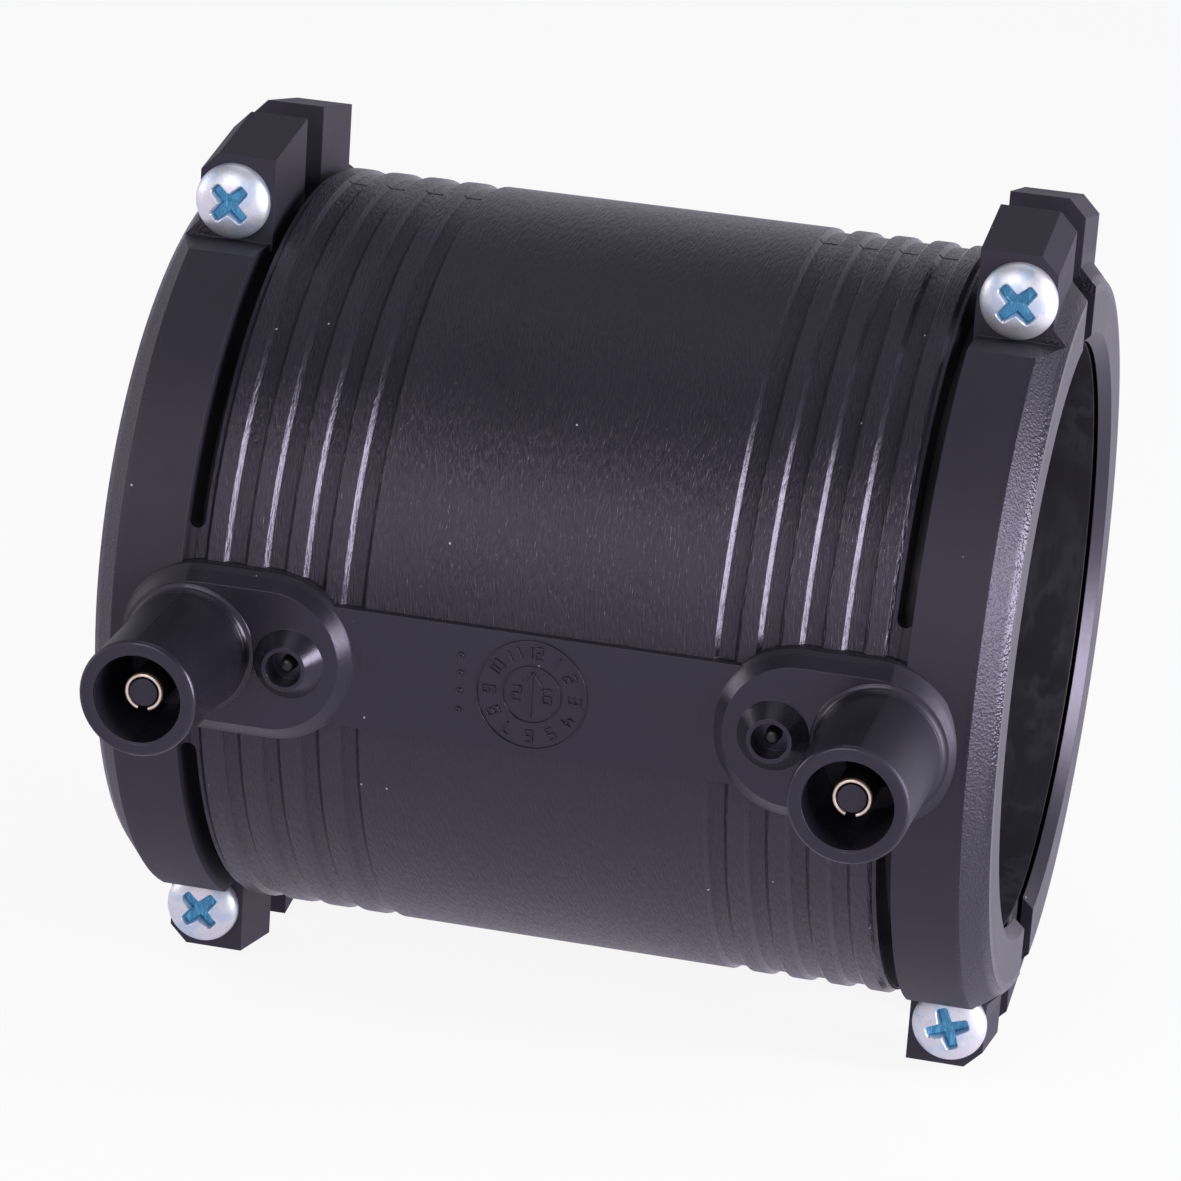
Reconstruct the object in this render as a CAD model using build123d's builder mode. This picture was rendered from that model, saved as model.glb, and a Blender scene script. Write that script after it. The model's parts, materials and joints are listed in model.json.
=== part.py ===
# Electrofusion coupler for 63 mm polyethylene pipe, with a clamping ring at each end.
#
# +X runs along the pipe, the two electric contacts point to -Y and the clamp ears stand
# up and down along Z.  The origin lies on the pipe's axis, halfway between the two ends.
# Everything is symmetric about the YZ and the XY plane.  All sizes are in millimetres.

from build123d import *
import os
from math import cos, radians, sin

# ---- pipe, bore and length ----
pipe_diameter = 63.0
pipe_play = 0.3             # radial play between pipe and bore
body_length = 95.6
mouth_depth = 1.3           # length of the cone that leads the pipe in
mouth_flare = 1.2           # how much wider than the bore its mouth is
fit_gap = 0.05              # between pieces that are moulded or pressed together

# ---- inner sleeve that carries the heating wire ----
sleeve_wall = 3.5
sleeve_cover = 0.4          # end of the sleeve behind the lip of the body
winding_skin = 0.9          # plastic between the bore and the wire
wire_size = 0.8
winding_start = 10.0        # cold zone on each side of the middle
winding_end = 35.2
link_arc = 2.4              # degrees of the wire that joins the two windings
link_play = 0.2
stop_count = 4              # nibs in the middle that the pipe ends meet
stop_arc = 25.0             # degrees
stop_width = 1.6
stop_height = 1.4
stop_rib = 0.4              # height of the low rib that joins the nibs

# ---- barrel ----
barrel_wall = 8.7           # from the bore to the top of the bands
band_count = 4
band_pitch = 4.3
groove_depth = 0.45
groove_floor = 1.6
groove_mouth = 2.6
first_groove = 19.6         # middle of the groove nearest the strip
ledge_width = 0.85          # low step beside the slot

# ---- clamp rings ----
ring_rise = 0.6             # of the rings over the bands
ring_width = 9.7
slot_width = 1.75
slot_bridge = 18.5          # degrees from the front or back to the end of a slot
rim_bevel_length = 2.6      # along the axis
rim_bevel_height = 2.75

# ---- clamp ears ----
ear_width = 8.25
ear_setback = 1.8           # from the end of the ring to the side of the ear
ear_reach = 14.0            # front and back faces, from the middle of the gap
ear_gap = 6.0
ear_rise = 4.2              # of the outer edges over the ring
roof_rise = 2.1             # of the edges beside the gap over the outer ones
ear_chamfer = 1.9
seat_drop = 5.0             # of the recess in front of the ear, below the ring

# ---- clamp screws ----
screw_drop = 0.7            # of the screw below the ring
screw_inset = 5.6           # from the end of the body to the screw
screw_length = 25.0
screw_diameter = 4.2
screw_tip = 2.5
screw_point = 0.6           # radius of the blunt end
head_diameter = 8.1
head_height = 2.4
head_rim = 0.9
head_crown = 5.6            # across the top, inside the bevelled edge
head_bevel = 1.1
recess_span = 4.2
recess_slot = 1.1
recess_depth = 1.5
recess_draft = 8.0          # degrees
screw_hole_play = 0.3

# ---- front strip and contact pads ----
strip_rise = 0.5            # of the strip over the bands
strip_height = 12.8
pad_rise = 1.8              # of the pads over the bands
pad_start = 18.7
pad_length = 25.7
pad_height = 18.0
pad_chamfer = 1.55

# ---- contacts ----
contact_station = 36.4
shroud_height = 16.2
shroud_foot = 12.8
shroud_draft = 0.9          # degrees
shroud_rim = 0.35           # bevel round its open end
socket_diameter = 9.25
socket_depth = 12.0
contact_diameter = 4.0
contact_wall = 0.5
contact_recess = 2.1
contact_slit = 0.7
contact_collar = 0.5        # how much wider the root in the body is
contact_anchor = 6.5        # length of the contact that is held in the body

# ---- fusion indicators ----
indicator_station = 25.5
indicator_height = 1.9
indicator_foot = 7.5
indicator_draft = 36.4      # degrees
indicator_well = 3.8
indicator_sink = 0.7        # of the well's floor below the pad
indicator_diameter = 1.5
indicator_recess = 1.0      # of the pin's tip below the top of its boss

# ---- sizes that follow from the ones above ----
half_length = body_length / 2
bore_radius = pipe_diameter / 2 + pipe_play
mouth_radius = bore_radius + mouth_flare
lip_start = half_length - mouth_depth
sleeve_radius = bore_radius + sleeve_wall
sleeve_end = lip_start - fit_gap - sleeve_cover
winding_floor = bore_radius + winding_skin
winding_radius = winding_floor + wire_size
barrel_radius = bore_radius + barrel_wall
band_root = barrel_radius - groove_depth
ring_radius = barrel_radius + ring_rise
ring_start = half_length - ring_width
slot_start = ring_start - slot_width
slot_middle = ring_start - slot_width / 2
ear_shoulder = ring_radius + ear_rise
ear_peak = ear_shoulder + roof_rise
seat_height = ring_radius - seat_drop
screw_height = ring_radius - screw_drop
ear_end = half_length - ear_setback
ear_start = ear_end - ear_width
screw_station = half_length - screw_inset
strip_face = barrel_radius + strip_rise
pad_face = barrel_radius + pad_rise
shroud_face = pad_face + shroud_height
indicator_face = pad_face + indicator_height
indicator_floor = pad_face - indicator_sink
indicator_tip = indicator_face - indicator_recess
contact_radius = contact_diameter / 2
core_radius = contact_radius - contact_wall - fit_gap
contact_tip = shroud_face - contact_recess
socket_floor = shroud_face - socket_depth
contact_root = socket_floor - contact_anchor
lead_station = contact_station - contact_radius + contact_wall / 2
beyond = 10.0               # how far cutting shapes reach past the surface they open
upward_turn = Axis((0, 0, 0), (-1, 0, 0))  # from the front over the top to the back
groove_stations = [first_groove + band_pitch * number for number in range(band_count)]


def front(distance):
    """A plane facing -Y at that distance from the pipe's axis, with +X right and +Z up."""
    return Plane(origin=(0, -distance, 0), x_dir=(1, 0, 0), z_dir=(0, -1, 0))


def spoke(angle):
    """A plane through the pipe's axis whose Y points outward, turned up from the front."""
    return Plane(
        origin=(0, 0, 0),
        x_dir=(1, 0, 0),
        z_dir=(0, -sin(radians(angle)), -cos(radians(angle))),
    )


def outward(angle, radius):
    """A plane that faces away from the pipe's axis at that angle and radius."""
    direction = Vector(0, -cos(radians(angle)), sin(radians(angle)))
    return Plane(origin=direction * radius, x_dir=(1, 0, 0), z_dir=direction)


def both_sides(station):
    """The same place on the left and on the right half."""
    return [(-station, 0), (station, 0)]


def corners(station, height):
    """The same place near all four clamp ears."""
    return [(side, level) for side in (-station, station) for level in (-height, height)]


os.makedirs("parts", exist_ok=True)


# ---- clamp slots: four arcs with round ends between the barrel and the rings ----
with BuildPart() as slots:
    for start in (slot_bridge, 180 + slot_bridge):
        with BuildSketch(spoke(start)):
            with Locations((slot_middle, sleeve_radius)):
                Rectangle(slot_width, 2 * beyond)
        revolve(axis=upward_turn, revolution_arc=180 - 2 * slot_bridge)
    for end in (slot_bridge, 180 - slot_bridge, 180 + slot_bridge, -slot_bridge):
        with BuildSketch(outward(end, sleeve_radius - 1)):
            with Locations((slot_middle, 0)):
                Circle(slot_width / 2)
        extrude(amount=beyond)
    mirror(about=Plane.YZ)

# ---- clamp ears: a block with a sloping roof at the top and bottom of each ring ----
with BuildPart() as ears:
    with BuildSketch(Plane.YZ.offset(ear_start)):
        with BuildLine():
            Polyline(
                (-ear_reach, sleeve_radius),
                (-ear_reach, ear_shoulder),
                (-ear_gap / 2, ear_peak),
                (ear_gap / 2, ear_peak),
                (ear_reach, ear_shoulder),
                (ear_reach, sleeve_radius),
                close=True,
            )
        make_face()
    extrude(amount=ear_width)
    outer_face = ears.faces().sort_by(Axis.X)[-1]
    roof_edges = outer_face.edges().filter_by(lambda edge: edge.center().Z > ear_shoulder - 0.1)
    chamfer(roof_edges, length=ear_chamfer)
    mirror(about=Plane.XY)
    mirror(about=Plane.YZ)

# ---- contact pads with their shrouds and indicator bosses ----
with BuildPart() as pads:
    with BuildSketch(front(sleeve_radius + fit_gap)):
        with Locations((pad_start + pad_length / 2, 0)):
            SlotOverall(pad_length, pad_height)
    extrude(amount=pad_face - sleeve_radius - fit_gap)
    chamfer(pads.faces().sort_by(Axis.Y)[0].edges(), length=pad_chamfer)

    with BuildSketch(front(pad_face)):
        with Locations((contact_station, 0)):
            Circle(shroud_foot / 2)
    extrude(amount=shroud_face - shroud_rim - pad_face, taper=shroud_draft)
    extrude(pads.faces().sort_by(Axis.Y)[0], amount=shroud_rim, taper=45)

    with BuildSketch(front(pad_face)):
        with Locations((indicator_station, 0)):
            Circle(indicator_foot / 2)
    extrude(amount=indicator_face - pad_face, taper=indicator_draft)
    mirror(about=Plane.YZ)

# ---- coupler body: barrel, rings, ears, pads, shrouds and indicator bosses in one ----
with BuildPart() as coupler_body:
    # barrel and rings, turned about the pipe's axis
    with BuildSketch(Plane.XY):
        with BuildLine():
            Polyline(
                (0, winding_radius + fit_gap),
                (winding_end, winding_radius + fit_gap),
                (winding_end, sleeve_radius + fit_gap),
                (lip_start, sleeve_radius + fit_gap),
                (lip_start, bore_radius),
                (half_length, mouth_radius),
                (half_length, ring_radius - rim_bevel_height),
                (half_length - rim_bevel_length, ring_radius),
                (ring_start, ring_radius),
                (ring_start, band_root),
                (slot_start - ledge_width + groove_depth, band_root),
                (slot_start - ledge_width, barrel_radius),
                (0, barrel_radius),
                close=True,
            )
        make_face()
        mirror(about=Plane.YZ)
    revolve(axis=Axis.X)

    # grooves that leave the raised bands between them
    with BuildSketch(Plane.XY):
        for station in groove_stations:
            with BuildLine():
                Polyline(
                    (station - groove_mouth / 2, barrel_radius + beyond),
                    (station - groove_mouth / 2, barrel_radius),
                    (station - groove_floor / 2, band_root),
                    (station + groove_floor / 2, band_root),
                    (station + groove_mouth / 2, barrel_radius),
                    (station + groove_mouth / 2, barrel_radius + beyond),
                    close=True,
                )
            make_face()
        mirror(about=Plane.YZ)
    revolve(axis=Axis.X, mode=Mode.SUBTRACT)
    with BuildSketch(front(sleeve_radius + fit_gap)):
        Rectangle(2 * pad_start + pad_height, strip_height)
    extrude(amount=strip_face - sleeve_radius - fit_gap)
    add(slots.part, mode=Mode.SUBTRACT)
    add(ears.part)
    add(pads.part)

    # wells and pin holes of the fusion indicators
    with BuildSketch(front(indicator_floor)):
        with Locations(*both_sides(indicator_station)):
            Circle(indicator_well / 2)
    extrude(amount=beyond, mode=Mode.SUBTRACT)
    with BuildSketch(front(winding_floor)):
        with Locations(*both_sides(indicator_station)):
            Circle(indicator_diameter / 2 + fit_gap)
    extrude(amount=beyond, mode=Mode.SUBTRACT)

    # contact sockets: a well round a core, a ring-shaped root and the way to the winding
    with BuildSketch(front(socket_floor)):
        with Locations(*both_sides(contact_station)):
            Circle(socket_diameter / 2)
            Circle(core_radius, mode=Mode.SUBTRACT)
    extrude(amount=contact_tip - socket_floor, mode=Mode.SUBTRACT)
    with BuildSketch(front(contact_tip)):
        with Locations(*both_sides(contact_station)):
            Circle(socket_diameter / 2)
    extrude(amount=beyond, mode=Mode.SUBTRACT)
    with BuildSketch(front(contact_root - fit_gap)):
        with Locations(*both_sides(contact_station)):
            Circle(contact_radius + contact_collar + fit_gap)
            Circle(core_radius, mode=Mode.SUBTRACT)
    extrude(amount=socket_floor - contact_root + fit_gap, mode=Mode.SUBTRACT)
    with BuildSketch(front(winding_floor)):
        with Locations(*both_sides(lead_station)):
            Circle(wire_size / 2 + fit_gap)
    extrude(amount=contact_root - fit_gap - winding_floor, mode=Mode.SUBTRACT)

    # gap between the ears, through the ring and the lip behind it
    for facing in (Plane.XY, -Plane.XY):
        with BuildSketch(facing):
            with Locations(*both_sides(half_length)):
                Rectangle(2 * (half_length - slot_middle), ear_gap)
        extrude(amount=ear_peak + beyond, mode=Mode.SUBTRACT)

    # recess in the ring in front of each ear, for the head of the screw
    with BuildSketch(front(ear_reach)):
        with Locations(*corners(half_length, seat_height + beyond)):
            Rectangle(2 * (half_length - slot_middle), 2 * beyond)
    extrude(amount=ring_radius, mode=Mode.SUBTRACT)

    # screw holes: wide through the front ears, close round the screw in the rear ones
    with BuildSketch(front(ear_gap / 2)):
        with Locations(*corners(screw_station, screw_height)):
            Circle(screw_diameter / 2 + screw_hole_play)
    extrude(amount=ear_reach - ear_gap / 2, mode=Mode.SUBTRACT)
    with BuildSketch(front(ear_reach - screw_length - fit_gap)):
        with Locations(*corners(screw_station, screw_height)):
            Circle(screw_diameter / 2 + fit_gap)
    extrude(amount=screw_length + fit_gap - ear_reach, mode=Mode.SUBTRACT)
coupler_body.part.label = "coupler_body"
export_step(coupler_body.part, "parts/coupler_body.step")

# ---- inner sleeve: the bore, turned down outside where the wire is wound ----
with BuildPart() as winding_sleeve:
    with BuildSketch(Plane.XY):
        with BuildLine():
            Polyline(
                (0, bore_radius - stop_rib),
                (stop_width / 2, bore_radius - stop_rib),
                (stop_width / 2, bore_radius),
                (sleeve_end, bore_radius),
                (sleeve_end, sleeve_radius),
                (winding_end + fit_gap, sleeve_radius),
                (winding_end + fit_gap, winding_floor),
                (winding_start, winding_floor),
                (winding_start, winding_radius),
                (0, winding_radius),
                close=True,
            )
        make_face()
        mirror(about=Plane.YZ)
    revolve(axis=Axis.X)
    with BuildSketch(spoke(180 - link_arc / 2 - link_play)):
        with Locations((0, winding_floor)):
            Rectangle(2 * winding_start, 2 * wire_size, align=(Align.CENTER, Align.MIN))
    revolve(axis=upward_turn, revolution_arc=link_arc + 2 * link_play, mode=Mode.SUBTRACT)
    for number in range(stop_count):
        with BuildSketch(spoke((number + 0.5) * 360 / stop_count - stop_arc / 2)):
            with Locations((0, bore_radius - stop_height)):
                Rectangle(stop_width, stop_height + winding_skin / 2, align=(Align.CENTER, Align.MIN))
        revolve(axis=upward_turn, revolution_arc=stop_arc)
winding_sleeve.part.label = "winding_sleeve"
export_step(winding_sleeve.part, "parts/winding_sleeve.step")

# ---- heating coil: two close-wound layers, the link between them and the two leads ----
with BuildPart() as heating_coil:
    with BuildSketch(Plane.XY):
        with Locations(((winding_start + winding_end) / 2, winding_floor + fit_gap)):
            Rectangle(
                winding_end - winding_start - 2 * fit_gap,
                wire_size - fit_gap,
                align=(Align.CENTER, Align.MIN),
            )
        mirror(about=Plane.YZ)
    revolve(axis=Axis.X)
    with BuildSketch(spoke(180 - link_arc / 2)):
        with Locations((0, winding_floor + fit_gap)):
            Rectangle(
                2 * winding_start + 4 * fit_gap,
                wire_size - fit_gap,
                align=(Align.CENTER, Align.MIN),
            )
    revolve(axis=upward_turn, revolution_arc=link_arc)
    with BuildSketch(front(winding_floor + wire_size / 2)):
        with Locations(*both_sides(lead_station)):
            Circle(wire_size / 2)
    extrude(amount=contact_root - fit_gap - winding_floor - wire_size / 2)
heating_coil.part.label = "heating_coil"
export_step(heating_coil.part, "parts/heating_coil.step")

# ---- pieces that sit on each side: a rolled contact and an indicator pin ----
for side, direction in (("left", -1), ("right", 1)):
    with BuildPart() as contact:
        with BuildSketch(front(contact_root)):
            with Locations((direction * contact_station, 0)):
                Circle(contact_radius)
                Circle(contact_radius - contact_wall, mode=Mode.SUBTRACT)
            with Locations((direction * contact_station, -contact_radius)):
                Rectangle(contact_slit, contact_diameter / 2, mode=Mode.SUBTRACT)
        extrude(amount=contact_tip - contact_root)
        with BuildSketch(front(contact_root)):
            with Locations((direction * contact_station, 0)):
                Circle(contact_radius + contact_collar)
                Circle(contact_radius - contact_wall, mode=Mode.SUBTRACT)
            with Locations((direction * contact_station, -contact_radius)):
                Rectangle(contact_slit, contact_diameter / 2, mode=Mode.SUBTRACT)
        extrude(amount=socket_floor - contact_root)
    contact.part.label = "contact_" + side
    export_step(contact.part, "parts/contact_" + side + ".step")

    with BuildPart() as indicator:
        with BuildSketch(front(winding_radius + 3 * fit_gap)):
            with Locations((direction * indicator_station, 0)):
                Circle(indicator_diameter / 2)
        extrude(amount=indicator_tip - winding_radius - 3 * fit_gap)
    indicator.part.label = "fusion_indicator_" + side
    export_step(indicator.part, "parts/fusion_indicator_" + side + ".step")

# ---- clamp screws: pan heads with a cross recess, each stopped at its own angle ----
screws = (
    ("left_top", -1, 1, 45),
    ("left_bottom", -1, -1, 45),
    ("right_top", 1, 1, 45),
    ("right_bottom", 1, -1, 20),
)
for name, direction, level, turn in screws:
    place = Vector(direction * screw_station, 0, level * screw_height)
    with BuildPart() as clamp_screw:
        with BuildSketch(Plane(origin=place, x_dir=(1, 0, 0), z_dir=(0, 0, -1))):
            with BuildLine():
                Polyline(
                    (0, ear_reach + head_height),
                    (0, ear_reach - screw_length),
                    (screw_point, ear_reach - screw_length),
                    (screw_diameter / 2, ear_reach - screw_length + screw_tip),
                    (screw_diameter / 2, ear_reach),
                    (head_diameter / 2, ear_reach),
                    (head_diameter / 2, ear_reach + head_rim),
                    (head_crown / 2, ear_reach + head_rim + head_bevel),
                    (0, ear_reach + head_height),
                )
            make_face()
        revolve(axis=Axis(place, (0, 1, 0)))
        with BuildSketch(front(ear_reach + head_height)):
            with Locations((place.X, place.Z)):
                Rectangle(recess_span, recess_slot, rotation=turn)
                Rectangle(recess_slot, recess_span, rotation=turn)
        extrude(amount=-recess_depth, taper=recess_draft, mode=Mode.SUBTRACT)
    clamp_screw.part.label = "clamp_screw_" + name
    export_step(clamp_screw.part, "parts/clamp_screw_" + name + ".step")
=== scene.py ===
# Electrofusion coupler: a black moulded body with clamping rings, bright screws and shrouded
# contacts.
#
# +X runs along the pipe, the contacts point to -Y and the clamp ears stand along Z.
# Lengths are metres.  The script dresses the frame's pieces and adds the ones too fine for it.

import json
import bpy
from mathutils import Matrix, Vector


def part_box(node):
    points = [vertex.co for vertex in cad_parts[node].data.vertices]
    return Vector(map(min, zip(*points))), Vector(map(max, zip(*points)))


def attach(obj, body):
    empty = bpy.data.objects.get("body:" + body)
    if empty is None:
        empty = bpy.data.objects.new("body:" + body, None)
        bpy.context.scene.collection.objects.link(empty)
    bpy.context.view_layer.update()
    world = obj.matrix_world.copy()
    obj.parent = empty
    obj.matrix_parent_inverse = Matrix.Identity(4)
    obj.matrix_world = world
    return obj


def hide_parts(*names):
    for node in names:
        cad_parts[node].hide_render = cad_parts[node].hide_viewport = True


bl_info = {
    "name": "Electrofusion coupler",
    "version": (1, 0, 0),
    "blender": (4, 5, 0),
    "location": "View3D > Sidebar > Coupler",
    "description": "Builds the finishes, screws, dial and stage of an electrofusion coupler",
    "category": "Object",
}

from math import radians

import bmesh
import bpy
import numpy as np
from mathutils import Matrix, Vector

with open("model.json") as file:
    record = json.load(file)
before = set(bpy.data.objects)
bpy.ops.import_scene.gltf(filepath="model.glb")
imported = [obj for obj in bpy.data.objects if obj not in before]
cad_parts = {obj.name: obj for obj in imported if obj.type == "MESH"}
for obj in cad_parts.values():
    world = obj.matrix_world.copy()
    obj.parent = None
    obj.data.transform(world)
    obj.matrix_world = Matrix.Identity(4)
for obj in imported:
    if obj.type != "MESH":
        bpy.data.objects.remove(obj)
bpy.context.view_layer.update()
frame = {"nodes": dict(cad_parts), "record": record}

MM = 0.001
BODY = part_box("coupler_body")
BOTTOM = BODY[0].z
SHROUD_FACE = BODY[0].y
FINISHES = {}  # each slot's material, filled by the first step

# zones of the body that its finish treats apart, in millimetres from the middle or the axis
BARREL_REACH = 37.0
BAND_REACH = 36.5
BAND_CENTRE = 25.0
BEVEL_REACH = 44.9
RING_INNER = 39.0
PAD_DEPTH = -41.2
CONTACT_EDGE = -56.05

# the stage: how far the floor reaches, and the camera, just above and right of the middle
FLOOR_REACH = 3.0
CAMERA_PLACE = (0.11095, -0.50816, 0.17595)
CAMERA_FORWARD = (-0.21014, 0.92118, -0.32753)
CAMERA_RIGHT = (0.96778, 0.24352, 0.06399)
CAMERA_LENS = 152.95
CAMERA_SHIFT = (0.00965, 0.01656)

# angle at which each screw was left, in degrees
SCREWS = {
    "clamp_screw_left_top": 45.0,
    "clamp_screw_left_bottom": 45.0,
    "clamp_screw_right_top": 45.0,
    "clamp_screw_right_bottom": 20.0,
}


# ---- shader expressions ----

class Wire:
    """A number flowing through a material; arithmetic on it adds Math nodes."""

    def __init__(self, sheet, socket):
        self.sheet = sheet
        self.socket = socket

    def _math(self, operation, first, second=None, third=None):
        inputs = {0: first}
        if second is not None:
            inputs[1] = second
        if third is not None:
            inputs[2] = third
        return self.sheet.node("ShaderNodeMath", {"operation": operation}, inputs)

    def __add__(self, other):
        return self._math("ADD", self, other)

    def __radd__(self, other):
        return self._math("ADD", other, self)

    def __sub__(self, other):
        return self._math("SUBTRACT", self, other)

    def __rsub__(self, other):
        return self._math("SUBTRACT", other, self)

    def __mul__(self, other):
        return self._math("MULTIPLY", self, other)

    def __rmul__(self, other):
        return self._math("MULTIPLY", other, self)

    def __truediv__(self, other):
        return self._math("DIVIDE", self, other)

    def __abs__(self):
        return self._math("ABSOLUTE", self)

    def root(self):
        return self._math("SQRT", self)

    def under(self, edge, soft):
        """1 below the edge, 0 above it, with a smooth change over twice the soft width."""
        return self.sheet.node(
            "ShaderNodeMapRange",
            {"interpolation_type": "SMOOTHSTEP"},
            {0: self, 1: edge - soft, 2: edge + soft, 3: 1.0, 4: 0.0},
        )

    def over(self, edge, soft):
        """0 below the edge and 1 above it."""
        return 1.0 - self.under(edge, soft)

    def between(self, low, high, soft):
        """1 between the two edges and 0 outside them."""
        return self.over(low, soft) * self.under(high, soft)


class Sheet:
    """One node material and the calls that add nodes to it."""

    def __init__(self, name):
        self.material = bpy.data.materials.new(name)
        self.material.use_nodes = True
        self.tree = self.material.node_tree
        self.shader = self.tree.nodes["Principled BSDF"]

    def node(self, kind, settings, inputs, output=0):
        """Adds a node, sets it up, then sets or links its sockets; gives the chosen output."""
        made = self.tree.nodes.new(kind)
        for key, value in settings.items():
            setattr(made, key, value)
        for key, value in inputs.items():
            self.feed(made.inputs[key], value)
        return Wire(self, made.outputs[output])

    def feed(self, socket, value):
        if isinstance(value, Wire):
            self.tree.links.new(value.socket, socket)
        else:
            socket.default_value = value

    def place(self):
        """The place on the object, in metres."""
        return self.node("ShaderNodeTexCoord", {}, {}, "Object")

    def mapped(self, scale):
        """The place, scaled for a pattern."""
        return self.node("ShaderNodeMapping", {}, {"Vector": self.place(), "Scale": scale})

    def axes(self):
        """X, Y and Z as three numbers in millimetres."""
        parts = self.tree.nodes.new("ShaderNodeSeparateXYZ")
        self.feed(parts.inputs[0], self.place())
        return [Wire(self, parts.outputs[index]) / MM for index in range(3)]

    def noise(self, size, detail=2.0, rough=0.5, stretch=(1.0, 1.0, 1.0)):
        """Cloudy pattern whose lumps are about size millimetres across."""
        scale = tuple(part / (size * MM) for part in stretch)
        return self.node(
            "ShaderNodeTexNoise",
            {},
            {"Vector": self.mapped(scale), "Scale": 1.0, "Detail": detail, "Roughness": rough},
        )

    def cells(self, size):
        """Distance to the nearest of a set of scattered points about size millimetres apart."""
        scale = (1.0 / (size * MM),) * 3
        return self.node(
            "ShaderNodeTexVoronoi",
            {"feature": "F1"},
            {"Vector": self.mapped(scale), "Scale": 1.0},
            "Distance",
        )

    def blend(self, factor, first, second):
        """A colour between two others."""
        made = self.tree.nodes.new("ShaderNodeMix")
        made.data_type = "RGBA"
        self.feed(made.inputs[0], factor)
        self.feed(made.inputs[6], first)
        self.feed(made.inputs[7], second)
        return Wire(self, made.outputs[2])

    def bump(self, height, strength, distance, normal=None):
        """Relief of that height; distance is its depth in millimetres."""
        inputs = {"Strength": strength, "Distance": distance * MM, "Height": height}
        if normal is not None:
            inputs["Normal"] = normal
        return self.node("ShaderNodeBump", {}, inputs)

    def rounded(self, radius):
        """A normal that rounds sharp edges to that radius in millimetres."""
        return self.node("ShaderNodeBevel", {"samples": 6}, {"Radius": radius * MM})

    def finish(self, **values):
        """Sets or links the shader's own sockets by name, with _ for each space."""
        for key, value in values.items():
            self.feed(self.shader.inputs[key.replace("_", " ")], value)
        return self.material


def lighter(colour, factor):
    """The same hue, brighter or darker by that factor."""
    return (*[min(1.0, part * factor) for part in colour[:3]], 1.0)


def rgb(red, green, blue):
    """A colour of the 0 to 255 scale as the linear values that shaders use."""
    parts = np.array([red, green, blue]) / 255.0
    linear = np.where(parts > 0.04045, ((parts + 0.055) / 1.055) ** 2.4, parts / 12.92)
    return (*[float(part) for part in linear], 1.0)


# ---- finishes ----

def body_finish(colour, roughness):
    """Black polyethylene: a satin skin with a fine grain, drag marks round the barrel, a coarser
    grain on the ring bevels, parting lines on the crown and a few pale specks of dust."""
    sheet = Sheet("moulded black")
    x, y, z = sheet.axes()
    reach = abs(x)
    radius = (y * y + z * z).root()
    grain = sheet.noise(0.16, 2.0)
    pits = sheet.noise(0.55, 3.0, 0.6)
    cloud = sheet.noise(11.0, 3.0, 0.6)
    turn = sheet.node("ShaderNodeMath", {"operation": "ARCTAN2"}, {0: z, 1: 0.0 - y})
    wrapped = sheet.node(
        "ShaderNodeCombineXYZ", {}, {0: x * 5.0, 1: turn * 34.0 + x * 0.5, 2: radius * 0.5}
    )
    drag = sheet.node("ShaderNodeTexNoise", {}, {"Vector": wrapped, "Scale": 1.0, "Detail": 3.0})
    barrel = reach.under(BARREL_REACH, 0.2) * radius.between(39.6, 41.0, 0.2)
    ring = reach.over(BARREL_REACH, 0.2) * radius.over(RING_INNER, 0.3)
    bevel = reach.over(BEVEL_REACH, 0.4) * radius.between(37.6, 41.4, 0.4)
    tongue = (x.between(-12.0, 13.0, 0.5) * z.between(6.6, 15.4, 0.5)) * y.under(-30.0, 1.0)
    outward = sheet.node("ShaderNodeNewGeometry", {}, {}, "Normal")
    sideways = abs(sheet.node("ShaderNodeSeparateXYZ", {}, {0: outward}))
    bands = radius.between(39.8, 40.7, 0.1)
    flank = reach.under(BAND_REACH, 0.1) * sideways.over(0.42, 0.1) * bands
    crown = abs(y).under(0.24, 0.06) * z.over(0.0, 1.0) * radius.between(39.7, 40.35, 0.08)
    parting = crown * abs(reach - BAND_CENTRE).under(9.5, 0.6)
    dust = sheet.cells(3.4).under(0.035, 0.008) * sheet.noise(9.0, 1.0).over(0.56, 0.05)
    shade = sheet.blend(cloud.between(0.3, 0.75, 0.25), colour, lighter(colour, 1.35))
    shade = sheet.blend(parting * 0.8, shade, rgb(12, 12, 14))
    shade = sheet.blend(tongue * 0.25, shade, rgb(26, 25, 30))
    shade = sheet.blend(dust * 0.75, shade, rgb(205, 205, 212))
    rough = roughness + (cloud - 0.5) * 0.10 + (pits - 0.5) * 0.08 + (drag - 0.5) * barrel * 0.3
    rough = rough + ring * 0.24 + parting * 0.4 - tongue * 0.04 - flank * 0.15 - bevel * 0.10
    rough = rough - y.under(PAD_DEPTH, 0.1) * 0.08
    calm = 1.0 - flank * 0.75
    sand = sheet.noise(0.3, 1.0)
    relief = grain * 0.14 + pits * 0.14 + sand * bevel * 1.7 + drag * barrel * 3.0
    relief = relief * calm - parting * 2.0
    normal = sheet.bump(relief, 0.75, 0.09, sheet.rounded(0.12))
    return sheet.finish(
        Base_Color=shade,
        Roughness=rough,
        Normal=normal,
        Specular_IOR_Level=0.6,
        Specular_Tint=(0.86, 0.80, 1.0, 1.0),
        IOR=1.51,
    )


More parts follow.
